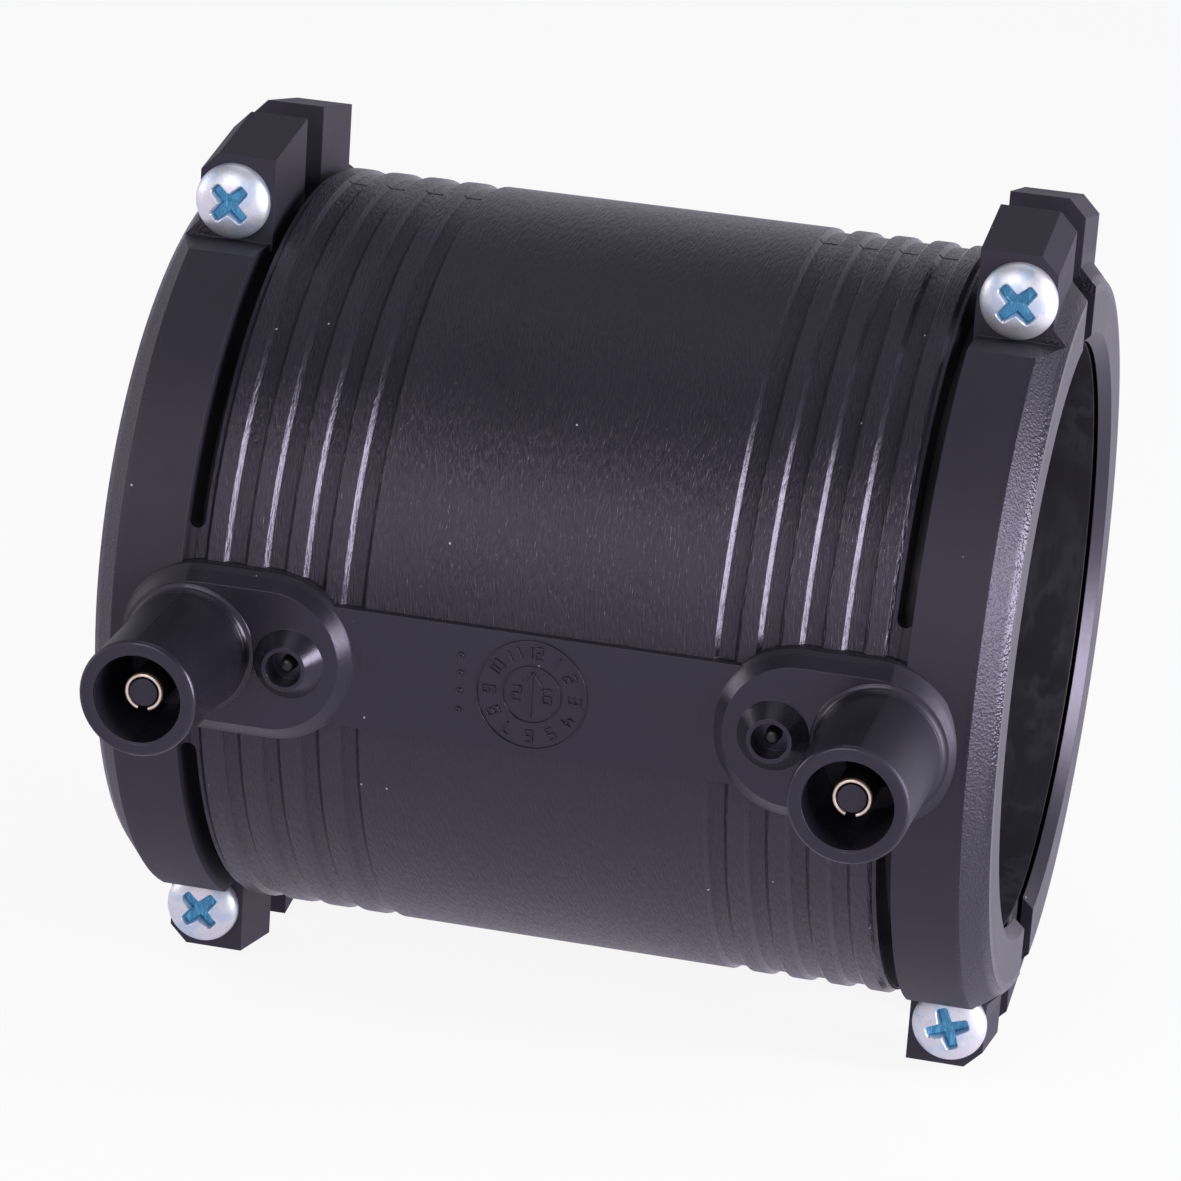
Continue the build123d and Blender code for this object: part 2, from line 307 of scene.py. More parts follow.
def sleeve_finish(colour):
    """Smooth turned polyethylene with faint rings along the bore, and pale swirls and a grey haze
    painted on as sheen.
    """
    sheet = Sheet("turned black")
    rings = sheet.noise(0.5, 3.0, 0.6, (1.0, 0.04, 0.04))
    cloud = sheet.noise(14.0, 3.0)
    shade = sheet.blend(cloud.between(0.3, 0.7, 0.2), colour, lighter(colour, 1.5))
    # painted sheen: pale swirls and a grey haze stand in for light reflected in the bore
    sheen_noise = sheet.noise(9.0, 4.0, 0.65, (1.0, 1.0, 0.5))
    sheen_swirl = abs(sheen_noise - 0.5).under(0.03, 0.05) * cloud.over(0.48, 0.1)
    shade = sheet.blend(sheen_swirl * 0.2, shade, rgb(78, 76, 88))
    shade = sheet.blend(sheen_noise.over(0.54, 0.12) * 0.22, shade, rgb(58, 56, 66))
    return sheet.finish(
        Base_Color=shade,
        Roughness=0.38 + (cloud - 0.5) * 0.15 + sheen_swirl * 0.2,
        Normal=sheet.bump(rings, 0.4, 0.03, sheet.rounded(0.15)),
        IOR=1.51,
    )


def pin_finish(colour):
    """Glossier black plastic of the fusion indicators."""
    sheet = Sheet("gloss black")
    grain = sheet.noise(0.12, 2.0)
    cloud = sheet.noise(1.2, 2.0)
    shade = sheet.blend(cloud, colour, lighter(colour, 1.6))
    return sheet.finish(
        Base_Color=shade,
        Roughness=0.3 + (cloud - 0.5) * 0.1,
        Normal=sheet.bump(grain, 0.4, 0.02, sheet.rounded(0.12)),
        IOR=1.51,
    )


def coil_finish(colour):
    """Drawn copper wire, close wound: fine ridges across the winding.  A bands texture repeats
    every 0.314 of its scale, and a turn of the wire is 0.8 mm wide."""
    sheet = Sheet("wound copper")
    ridges = sheet.node(
        "ShaderNodeTexWave",
        {"wave_type": "BANDS", "bands_direction": "X"},
        {"Vector": sheet.place(), "Scale": 0.314 / (0.8 * MM), "Distortion": 0.2},
        "Fac",
    )
    tarnish = sheet.noise(4.0, 3.0)
    shade = sheet.blend(tarnish.between(0.35, 0.7, 0.2), colour, rgb(140, 78, 52))
    return sheet.finish(
        Base_Color=shade,
        Metallic=1.0,
        Roughness=0.28 + tarnish * 0.15,
        Normal=sheet.bump(ridges, 0.8, 0.3),
    )


def contact_finish(colour, dark_side):
    """Rolled brass: sides dark in the well, and a bright cut edge at the tip."""
    sheet = Sheet("rolled brass")
    x, y, z = sheet.axes()
    edge = y.under(CONTACT_EDGE, 0.1)
    streaks = sheet.noise(0.25, 3.0, 0.6, (1.0, 0.08, 1.0))
    stain = sheet.noise(1.1, 3.0)
    # the sides are coloured dark in the well
    side = sheet.blend(stain.between(0.35, 0.7, 0.2), dark_side, lighter(dark_side, 2.0))
    tip = sheet.blend(stain.between(0.5, 0.8, 0.2) * 0.4, colour, rgb(226, 190, 160))
    return sheet.finish(
        Base_Color=sheet.blend(edge, side, tip),
        Metallic=0.35 + edge * 0.5,
        Roughness=0.5 - edge * 0.14 + (streaks - 0.5) * 0.2,
        Normal=sheet.bump(streaks, 0.3, 0.02),
    )


def zinc_finish(colour, recess):
    """Bright zinc plate: cloudy crystals, small dark pits, and a bluish tint in the recess, where
    the colour is darker as painted shade.
    """
    sheet = Sheet("zinc plate")
    cloud = sheet.noise(0.9, 4.0, 0.6)
    pits = sheet.noise(0.22, 2.0)
    scratches = sheet.noise(0.3, 3.0, 0.6, (1.0, 1.0, 0.12))
    inside = sheet.node("ShaderNodeAttribute", {"attribute_name": "recess"}, {}, "Fac")
    shade = sheet.blend(cloud.between(0.3, 0.75, 0.2), colour, lighter(colour, 0.84))
    rainbow = sheet.noise(2.6, 1.0)
    shade = sheet.blend(rainbow.under(0.42, 0.06) * 0.45, shade, rgb(178, 206, 236))
    shade = sheet.blend(rainbow.over(0.60, 0.06) * 0.35, shade, rgb(240, 224, 230))
    # painted shade: in the recess the plating's bluish tint is made much darker than the head,
    # with lighter streaks along the scratches
    bottom = sheet.blend(scratches.between(0.40, 0.60, 0.12), lighter(recess, 2.1), recess)
    shade = sheet.blend(inside, shade, bottom)
    shade = sheet.blend(pits.under(0.3, 0.03) * 0.5, shade, rgb(70, 74, 84))
    rough = 0.40 + (cloud - 0.5) * 0.2 + scratches * 0.06 - inside * 0.1
    return sheet.finish(
        Base_Color=shade,
        Metallic=0.78 - inside * 0.2,
        Roughness=rough,
        Normal=sheet.bump(cloud * 0.6 + pits * 0.4, 0.35, 0.05),
    )


# ---- surfaces ----

def grid_faces(rows, columns):
    """Quads of a grid of rows by columns points, with the last column joined to the first."""
    row, column = np.meshgrid(np.arange(rows - 1), np.arange(columns), indexing="ij")
    ahead = (column + 1) % columns
    quads = np.stack(
        [
            row * columns + column,
            row * columns + ahead,
            (row + 1) * columns + ahead,
            (row + 1) * columns + column,
        ],
        axis=-1,
    ).reshape(-1, 4)
    return [tuple(quad) for quad in quads]


def piece(name, points, faces, slot, smooth=True, recess=None):
    """Puts points (metres) and faces into a new object that rides on the root body; a surface
    whose signed volume is negative is turned to face outward."""
    mesh = bpy.data.meshes.new(name)
    mesh.from_pydata(points.tolist(), [], [list(map(int, face)) for face in faces])
    form = bmesh.new()
    form.from_mesh(mesh)
    if form.calc_volume(signed=True) < 0:
        mesh.flip_normals()
    form.free()
    mesh.materials.append(FINISHES[slot])
    if recess is not None:
        layer = mesh.attributes.new("recess", "FLOAT", "POINT")
        layer.data.foreach_set("value", recess.astype(np.float32))
    mesh.polygons.foreach_set("use_smooth", np.full(len(mesh.polygons), smooth))
    mesh.update()
    made = bpy.data.objects.new(name, mesh)
    bpy.context.scene.collection.objects.link(made)
    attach(made, "root")
    return made


def turned(profile, steps):
    """Surface of revolution about +Z: each profile point (radius, height) sweeps a circle of
    x = radius cos t, y = radius sin t at its height, for steps values of t."""
    angle = np.linspace(0.0, 2 * np.pi, steps, endpoint=False)
    radius, height = np.array(profile, float).T
    return np.stack(
        [
            np.outer(radius, np.cos(angle)),
            np.outer(radius, np.sin(angle)),
            np.outer(height, np.ones(steps)),
        ],
        axis=-1,
    ).reshape(-1, 3)


def pole(points, rows, columns, faces, at_start):
    """Closes the first or last row of a turned grid with a fan to its own middle point."""
    ring = np.arange(columns) + (0 if at_start else (rows - 1) * columns)
    middle = points[ring].mean(axis=0)
    points = np.vstack([points, middle])
    ahead = np.roll(ring, -1)
    tip = np.full(columns, len(points) - 1)
    fan = np.stack([ahead, ring, tip] if at_start else [ring, ahead, tip], axis=-1)
    return points, faces + [tuple(face) for face in fan]


def screw_surface(turn, size):
    """Pan head screw along +Z with its head seat at 0.

    Head: on a polar grid the height is rim + dome (1 - (r/R)^2.4)^0.62, less the recess, whose
    depth falls off smoothly where the smaller of the two distances to the cross's arms, which
    narrow outward, or the distance past their ends, leaves the slot.  Shank: radius = core +
    crest s(z / pitch - t / 2 pi), with s a rounded ridge once a turn, narrowing to a point at
    the tip.  The third array is 1 on the recess's bottom and 0 elsewhere."""
    head = size.head_diameter / 2
    columns = 160
    angle = np.linspace(0.0, 2 * np.pi, columns, endpoint=False)
    share = np.concatenate([np.linspace(0.01, 0.66, 44), np.linspace(0.68, 1.0, 22)])
    radius = np.outer(share * head, np.ones(columns))
    sweep = np.outer(np.ones(len(share)), angle)
    east, north = radius * np.cos(sweep), radius * np.sin(sweep)
    dome = size.head_rim + (size.head_height - size.head_rim) * np.clip(
        1 - (radius / head) ** 2.4, 0, 1
    ) ** 0.62
    twist = radians(turn)
    along = np.abs(east * np.cos(twist) + north * np.sin(twist))
    across = np.abs(-east * np.sin(twist) + north * np.cos(twist))
    longer, shorter = np.maximum(along, across), np.minimum(along, across)
    span, slot = size.recess_span / 2, size.recess_slot / 2
    edge = 0.34 * MM
    arm = slot * (1.28 - 0.42 * np.clip(longer / span, 0, 1))
    in_arm = np.clip((arm - shorter) / edge + 0.5, 0, 1)
    in_span = np.clip((span - longer) / edge + 0.5, 0, 1)
    waist = np.clip((slot * 2.05 - (longer + shorter)) / edge + 0.5, 0, 1)
    inside = np.maximum(in_arm * in_span, waist)
    inside = inside * inside * (3 - 2 * inside)
    depth = size.recess_depth * (1.0 - 0.42 * np.clip(longer / span, 0, 1))
    height = dome - inside * depth
    top = np.stack([east, north, height], axis=-1).reshape(-1, 3)
    tint = np.clip(inside * 2.4 - 0.9, 0, 1).reshape(-1)

    # rim, underside and threaded shank continue the same columns downward
    length = size.screw_length
    side = np.array([[head, 0.35], [head * 0.995, 0.06], [head * 0.97, 0.0]])
    side[:, 1] *= size.head_rim
    lower = turned(side, columns)
    rows = 220
    drop = np.linspace(0.0, length - 0.02 * MM, rows)
    point = np.clip((length - drop) / size.screw_tip, 0.0, 1.0)
    core = size.screw_diameter / 2 * 0.78
    crest = size.screw_diameter / 2 - core
    phase = np.add.outer(drop / size.thread_pitch, angle / (2 * np.pi)) % 1.0
    ridge = np.clip(1 - np.abs(phase - 0.5) / 0.24, 0, 1) ** 0.8
    plain = np.clip((drop - 0.6 * MM) / (1.2 * MM), 0, 1)[:, None]
    shank_radius = (core + crest * ridge * plain) * (0.08 + 0.92 * point[:, None] ** 0.7)
    shank = np.stack(
        [
            shank_radius * np.cos(angle),
            shank_radius * np.sin(angle),
            -np.outer(drop, np.ones(columns)),
        ],
        axis=-1,
    ).reshape(-1, 3)
    points = np.vstack([top, lower, shank])
    tint = np.concatenate([tint, np.zeros(len(lower) + len(shank))])
    count = len(share) + len(side) + rows
    faces = grid_faces(count, columns)
    points, faces = pole(points, count, columns, faces, True)
    points, faces = pole(points, count, columns, faces, False)
    tint = np.concatenate([tint, [1.0, 0.0]])
    return points, faces, tint


def upright(points, middle):
    """Turns a surface along +Z so that it faces -Y and moves it to its place."""
    spun = np.stack([points[:, 0], -points[:, 2], points[:, 1]], axis=-1)
    return spun + np.array(middle)


def foot_surface(inner, fillet, steps):
    """Ring that rounds the foot of a shroud: a concave quarter circle of that fillet radius from
    the wall (radius inner, height fillet) to the pad (radius inner + fillet, height 0)."""
    into_wall, into_pad = 0.15 * MM, 0.05 * MM
    sweep = np.linspace(0.0, np.pi / 2, 9)
    arc = np.stack([inner + fillet * (1 - np.cos(sweep)), fillet * (1 - np.sin(sweep))], axis=-1)
    start = np.array([[inner - into_wall, fillet * 1.02]])
    under = np.array([[inner + fillet, -into_pad], [inner - into_wall, -into_pad]])
    loop = np.vstack([start, arc, under, start])
    points = turned(loop, steps)
    return points, grid_faces(len(loop), steps)


def rim_surface(inner, outer, round_in, round_out, proud, steps):
    """Lip on the open end of a shroud: from the outer wall a quarter ellipse (round_out deep and
    wide) rises to the flat of the lip, a hair above the end, and another (round_in) falls into the
    well; a flat ring underneath closes it."""
    sweep = np.linspace(0.0, np.pi / 2, 9)
    cos, sin = np.cos(sweep), np.sin(sweep)
    rise = np.stack([outer - round_out * (1 - cos), (round_out + proud) * sin - round_out], -1)
    fall = np.stack([inner + round_in * (1 - sin), (round_in + proud) * cos - round_in], -1)
    under = np.array([[inner + 0.3 * MM, -round_in], [outer - 0.3 * MM, -round_out]])
    loop = np.vstack([rise, fall, under, rise[:1]])
    points = turned(loop, steps)
    return points, grid_faces(len(loop), steps)


def contact_surface(outer, wall, length, slit):
    """Rolled sheet with a slit at the bottom: a wall profile with a rounded tip, a half circle of
    the wall's own thickness, carried round an arc that leaves out slit / outer radians."""
    half = slit / outer / 2
    angle = np.linspace(-np.pi / 2 + half, 3 * np.pi / 2 - half, 121)
    sweep = np.linspace(0.0, np.pi, 9)
    middle = outer - wall / 2
    radius = np.concatenate([[outer], middle + wall / 2 * np.cos(sweep), [outer - wall]])
    height = np.concatenate([[-length], -wall / 2 + wall / 2 * np.sin(sweep), [-length]])
    points = np.stack(
        [
            np.outer(angle * 0 + 1, radius) * np.cos(angle)[:, None],
            np.outer(angle * 0 + 1, radius) * np.sin(angle)[:, None],
            np.outer(angle * 0 + 1, height),
        ],
        axis=-1,
    ).reshape(-1, 3)
    columns = len(radius)
    faces = grid_faces(len(angle), columns)
    faces.append(tuple(range(columns)))
    faces.append(tuple(reversed(range((len(angle) - 1) * columns, len(angle) * columns))))
    return points, faces


def pin_surface(radius, length, steps):
    """Indicator pin: a straight side that ends in a dome at
    height = (sqrt(1 - (r / radius)^2) - 1) radius / 2."""
    sweep = np.linspace(0.04, np.pi / 2, 10)
    dome = np.stack([radius * np.sin(sweep), radius * (np.cos(sweep) - 1) * 0.5], axis=-1)
    loop = np.vstack([dome, [[radius, -length]]])
    points = turned(loop, steps)
    faces = grid_faces(len(loop), steps)
    points, faces = pole(points, len(loop), steps, faces, True)
    return pole(points, len(loop), steps, faces, False)


def bar(start, end, width, low, high):
    """A straight raised bar on the strip between two points (x, z), from low to high above it."""
    start, end = np.array(start, float), np.array(end, float)
    along = (end - start) / np.linalg.norm(end - start)
    aside = np.array([-along[1], along[0]]) * width / 2
    slope = 0.72
    flat = np.array(
        [
            corner
            for side in (aside, aside * slope)
            for corner in (start - side, end - side, end + side, start + side)
        ]
    )
    levels = np.array([low] * 4 + [high] * 4)
    points = np.stack([flat[:, 0], flat[:, 1], levels], axis=-1)
    faces = [(4, 5, 6, 7), (3, 2, 1, 0), (0, 1, 5, 4), (1, 2, 6, 5), (2, 3, 7, 6), (3, 0, 4, 7)]
    return points, faces


def joined(parts):
    """Several surfaces as one: points stacked, faces renumbered."""
    points, faces, start = [], [], 0
    for part_points, part_faces in parts:
        points.append(part_points)
        faces += [tuple(int(index) + start for index in face) for face in part_faces]
        start += len(part_points)
    return np.vstack(points), faces


def raised_ring(radius, width, low, high, steps=72):
    """A low ring on the strip: a flat-topped ridge of that width, swept round a circle."""
    half, slope = width / 2, 0.6
    loop = [
        (radius + half, low),
        (radius + half * slope, high),
        (radius - half * slope, high),
        (radius - half, low),
        (radius + half, low),
    ]
    return turned(loop, steps), grid_faces(len(loop), steps)


def stroke_number(number, middle, tall, turn, low, high):
    """A plain number in straight strokes, as on a seven-bar display, turned about its middle."""
    segments = {
        "top": ((0, 1), (1, 1)),
        "mid": ((0, 0.5), (1, 0.5)),
        "low": ((0, 0), (1, 0)),
        "left_high": ((0, 0.5), (0, 1)),
        "left_low": ((0, 0), (0, 0.5)),
        "right_high": ((1, 0.5), (1, 1)),
        "right_low": ((1, 0), (1, 0.5)),
    }
    lit = {
        "0": "top low left_high left_low right_high right_low",
        "1": "right_high right_low",
        "2": "top right_high mid left_low low",
        "3": "top right_high mid right_low low",
        "4": "left_high mid right_high right_low",
        "5": "top left_high mid right_low low",
        "6": "top left_high mid left_low right_low low",
        "7": "top right_high right_low",
        "8": "top mid low left_high left_low right_high right_low",
        "9": "top mid low left_high right_high right_low",
    }
    digits = str(number)
    wide, gap = tall * 0.55, tall * 0.35
    total = len(digits) * wide + (len(digits) - 1) * gap
    spin = np.array([[np.cos(turn), -np.sin(turn)], [np.sin(turn), np.cos(turn)]])
    parts = []
    for order, digit in enumerate(digits):
        corner = np.array([order * (wide + gap) - total / 2, -tall / 2])
        for key in lit[digit].split():
            ends = [
                spin @ (corner + np.array(end) * np.array([wide, tall])) + np.array(middle)
                for end in segments[key]
            ]
            parts.append(bar(ends[0], ends[1], tall * 0.17, low, high))
    return parts


# ---- what a user can change ----

class CouplerFinish(bpy.types.PropertyGroup):
    """Colours and gloss of the finishes."""

    body_colour: bpy.props.FloatVectorProperty(
        name="Body", description="Colour of the moulded body", subtype="COLOR",
        size=4, min=0.0, max=1.0, default=rgb(27, 26, 33),
    )
    body_roughness: bpy.props.FloatProperty(
        name="Body roughness", description="How dull the moulded skin is",
        subtype="FACTOR", min=0.0, max=1.0, default=0.34,
    )
    sleeve_colour: bpy.props.FloatVectorProperty(
        name="Sleeve", description="Colour of the inner sleeve", subtype="COLOR",
        size=4, min=0.0, max=1.0, default=rgb(30, 29, 33),
    )
    pin_colour: bpy.props.FloatVectorProperty(
        name="Indicators", description="Colour of the fusion indicators", subtype="COLOR",
        size=4, min=0.0, max=1.0, default=rgb(22, 22, 25),
    )
    coil_colour: bpy.props.FloatVectorProperty(
        name="Coil", description="Colour of the heating wire", subtype="COLOR",
        size=4, min=0.0, max=1.0, default=rgb(206, 128, 88),
    )
    contact_colour: bpy.props.FloatVectorProperty(
        name="Contact edge", description="Colour of a contact's bright edge", subtype="COLOR",
        size=4, min=0.0, max=1.0, default=rgb(255, 236, 218),
    )
    patina_colour: bpy.props.FloatVectorProperty(
        name="Contact sides", description="Colour of a contact's sides in its well", subtype="COLOR",
        size=4, min=0.0, max=1.0, default=rgb(30, 24, 22),
    )
    zinc_colour: bpy.props.FloatVectorProperty(
        name="Screws", description="Colour of the zinc plate", subtype="COLOR",
        size=4, min=0.0, max=1.0, default=rgb(246, 249, 255),
    )
    # the recess colour is the plating's bluish tint darkened as painted shade
    recess_colour: bpy.props.FloatVectorProperty(
        name="Recess", description="Colour inside the screws' recess", subtype="COLOR",
        size=4, min=0.0, max=1.0, default=rgb(74, 138, 172),
    )


class CouplerSizes(bpy.types.PropertyGroup):
    """Sizes of the added pieces."""

    head_diameter: bpy.props.FloatProperty(
        name="Head", description="Diameter of a screw's head", unit="LENGTH", default=8.1 * MM)
    head_height: bpy.props.FloatProperty(
        name="Head height", description="Height of a screw's head", unit="LENGTH",
        default=2.4 * MM)
    head_rim: bpy.props.FloatProperty(
        name="Head rim", description="Height of the head's side", unit="LENGTH", default=0.7 * MM)
    recess_span: bpy.props.FloatProperty(
        name="Recess", description="Span of the cross recess", unit="LENGTH", default=4.6 * MM)
    recess_slot: bpy.props.FloatProperty(
        name="Recess slot", description="Width of the recess's arms", unit="LENGTH",
        default=1.2 * MM)
    recess_depth: bpy.props.FloatProperty(
        name="Recess depth", description="Depth of the recess", unit="LENGTH", default=1.5 * MM)
    screw_diameter: bpy.props.FloatProperty(
        name="Screw", description="Outer diameter of the thread", unit="LENGTH", default=4.2 * MM)
    screw_length: bpy.props.FloatProperty(
        name="Screw length", description="Length under the head", unit="LENGTH", default=25.0 * MM)
    screw_tip: bpy.props.FloatProperty(
        name="Screw tip", description="Length of the point", unit="LENGTH", default=2.5 * MM)
    thread_pitch: bpy.props.FloatProperty(
        name="Pitch", description="Distance between two turns of the thread", unit="LENGTH",
        default=1.4 * MM)
    shroud_foot: bpy.props.FloatProperty(
        name="Shroud foot", description="Diameter of a shroud where it meets its pad",
        unit="LENGTH", default=12.8 * MM)
    shroud_fillet: bpy.props.FloatProperty(
        name="Foot rounding", description="Radius round the foot of a shroud", unit="LENGTH",
        default=0.8 * MM)
    shroud_bore: bpy.props.FloatProperty(
        name="Shroud bore", description="Diameter of the well round a contact", unit="LENGTH",
        default=9.25 * MM)
    shroud_tip: bpy.props.FloatProperty(
        name="Shroud tip", description="Outer diameter of a shroud at its open end",
        unit="LENGTH", default=12.3 * MM)
    contact_diameter: bpy.props.FloatProperty(
        name="Contact", description="Outer diameter of a contact", unit="LENGTH", default=4.0 * MM)
    contact_wall: bpy.props.FloatProperty(
        name="Contact wall", description="Thickness of a contact's sheet", unit="LENGTH",
        default=0.42 * MM)
    contact_slit: bpy.props.FloatProperty(
        name="Contact slit", description="Width of the slit in a contact", unit="LENGTH",
        default=1.2 * MM)
    contact_station: bpy.props.FloatProperty(
        name="Contacts", description="Distance of a contact from the middle", unit="LENGTH",
        default=36.4 * MM)
    pad_face: bpy.props.FloatProperty(
        name="Pad", description="Distance of the pad's face from the axis", unit="LENGTH",
        default=42.3 * MM)
    strip_face: bpy.props.FloatProperty(
        name="Strip", description="Distance of the strip's face from the axis", unit="LENGTH",
        default=41.0 * MM)
    dial_diameter: bpy.props.FloatProperty(
        name="Dial", description="Outer diameter of the date dial", unit="LENGTH",
        default=11.6 * MM)
    dial_disc: bpy.props.FloatProperty(
        name="Dial disc", description="Diameter of the dial's inner disc", unit="LENGTH",
        default=6.1 * MM)
    relief: bpy.props.FloatProperty(
        name="Relief", description="How far marks stand out", unit="LENGTH", default=0.2 * MM)


# ---- one operator for each group of pieces ----

class COUPLER_OT_finishes(bpy.types.Operator):
    """Give every piece of the frame its finish"""

    bl_idname = "coupler.finishes"
    bl_label = "Finishes"

    def execute(self, context):
        look = context.scene.coupler_finish
        FINISHES.update({
            "body_plastic": body_finish(tuple(look.body_colour), look.body_roughness),
            "sleeve_plastic": sleeve_finish(tuple(look.sleeve_colour)),
            "indicator_plastic": pin_finish(tuple(look.pin_colour)),
            "coil_copper": coil_finish(tuple(look.coil_colour)),
            "contact_brass": contact_finish(tuple(look.contact_colour), tuple(look.patina_colour)),
            "screw_zinc": zinc_finish(tuple(look.zinc_colour), tuple(look.recess_colour)),
        })
        for subpart in frame["record"]["subparts"]:
            node = frame["nodes"][subpart["node"]]
            for place in node.material_slots:
                place.material = FINISHES[subpart["material_slot"]]
        return {"FINISHED"}


class COUPLER_OT_screws(bpy.types.Operator):
    """Add the four clamp screws with their threads and cross recesses"""

    bl_idname = "coupler.screws"
    bl_label = "Clamp screws"

    def execute(self, context):
        size = context.scene.coupler_sizes
        for node, turn in SCREWS.items():
            low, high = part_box(node)
            points, faces, tint = screw_surface(turn, size)
            seat = low.y + size.head_height
            middle = ((low.x + high.x) / 2, seat, (low.z + high.z) / 2)
            made = piece(
                "threaded_" + node, upright(points, middle), faces, "screw_zinc", recess=tint
            )
            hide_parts(node)
        return {"FINISHED"}


class COUPLER_OT_shroud_feet(bpy.types.Operator):
    """Round the foot of each contact shroud"""

    bl_idname = "coupler.shroud_feet"
    bl_label = "Shroud feet"

    def execute(self, context):
        size = context.scene.coupler_sizes
        for side, direction in (("left", -1), ("right", 1)):
            points, faces = foot_surface(size.shroud_foot / 2, size.shroud_fillet, 96)
            middle = (direction * size.contact_station, -size.pad_face, 0.0)
            piece("shroud_foot_" + side, upright(points, middle), faces, "body_plastic")
        return {"FINISHED"}


class COUPLER_OT_shroud_rims(bpy.types.Operator):
    """Round the open end of each contact shroud"""

    bl_idname = "coupler.shroud_rims"
    bl_label = "Shroud rims"

    def execute(self, context):
        size = context.scene.coupler_sizes
        for side, direction in (("left", -1), ("right", 1)):
            points, faces = rim_surface(
                size.shroud_bore / 2 - 0.01 * MM, size.shroud_tip / 2 + 0.01 * MM,
                0.38 * MM, 0.5 * MM, 0.04 * MM, 120,
            )
            middle = (direction * size.contact_station, SHROUD_FACE, 0.0)
            piece("shroud_rim_" + side, upright(points, middle), faces, "body_plastic")
        return {"FINISHED"}


class COUPLER_OT_contacts(bpy.types.Operator):
    """Add the rolled contacts with their rounded, bright edges"""

    bl_idname = "coupler.contacts"
    bl_label = "Contacts"

    def execute(self, context):
        size = context.scene.coupler_sizes
        for side, direction in (("left", -1), ("right", 1)):
            node = "contact_" + side
            low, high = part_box(node)
            points, faces = contact_surface(
                size.contact_diameter / 2, size.contact_wall, high.y - low.y, size.contact_slit
            )
            middle = (direction * size.contact_station, low.y, 0.0)
            made = piece("rolled_" + node, upright(points, middle), faces, "contact_brass")
            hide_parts(node)
        return {"FINISHED"}


class COUPLER_OT_pins(bpy.types.Operator):
    """Add the domed fusion indicator pins"""

    bl_idname = "coupler.pins"
    bl_label = "Indicator pins"

    def execute(self, context):
        for side in ("left", "right"):
            node = "fusion_indicator_" + side
            low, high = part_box(node)
            points, faces = pin_surface((high.x - low.x) / 2, high.y - low.y, 48)
            middle = ((low.x + high.x) / 2, low.y, 0.0)
            made = piece("domed_" + node, upright(points, middle), faces, "indicator_plastic")
            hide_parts(node)
        return {"FINISHED"}


class COUPLER_OT_date_dial(bpy.types.Operator):
    """Add the date dial in the middle of the strip and the four dots beside it"""

    bl_idname = "coupler.date_dial"
    bl_label = "Date dial"

    def execute(self, context):
        size = context.scene.coupler_sizes
        low, high = -0.05 * MM, size.relief
        outer, disc = size.dial_diameter / 2, size.dial_disc / 2
        width = 0.22 * MM
        parts = [
            raised_ring(outer, width, low, high),
            raised_ring(disc, width, low, high, 48),
            bar((0, -disc * 0.8), (0, disc * 0.8), width, low, high),
            bar((0, disc * 0.8), (-disc * 0.3, disc * 0.4), width, low, high),
            bar((0, disc * 0.8), (disc * 0.3, disc * 0.4), width, low, high),
        ]
        for month in range(1, 13):
            turn = np.pi / 2 - month * np.pi / 6
            reach = (outer + disc) / 2 * 1.02
            middle = (reach * np.cos(turn), reach * np.sin(turn))
            parts += stroke_number(month, middle, 1.25 * MM, turn - np.pi / 2, low, high)
        for number, aside in ((2, -1), (6, 1)):
            middle = (aside * disc * 0.52, 0.0)
            parts += stroke_number(number, middle, 1.5 * MM, 0.0, low, high)
        points, faces = joined(parts)
        strip = (0.0, -size.strip_face, 0.0)
        piece("date_dial", upright(points, strip), faces, "body_plastic", smooth=False)
        dots = []
        for height in (3.2, 1.3, -0.65, -2.7):
            points, faces = raised_ring(0.2 * MM, 0.34 * MM, low, high * 1.2, 20)
            points[:, 0] += -7.6 * MM
            points[:, 1] += height * MM
            dots.append((points, faces))
        points, faces = joined(dots)
        piece("strip_dots", upright(points, strip), faces, "body_plastic", smooth=False)
        return {"FINISHED"}


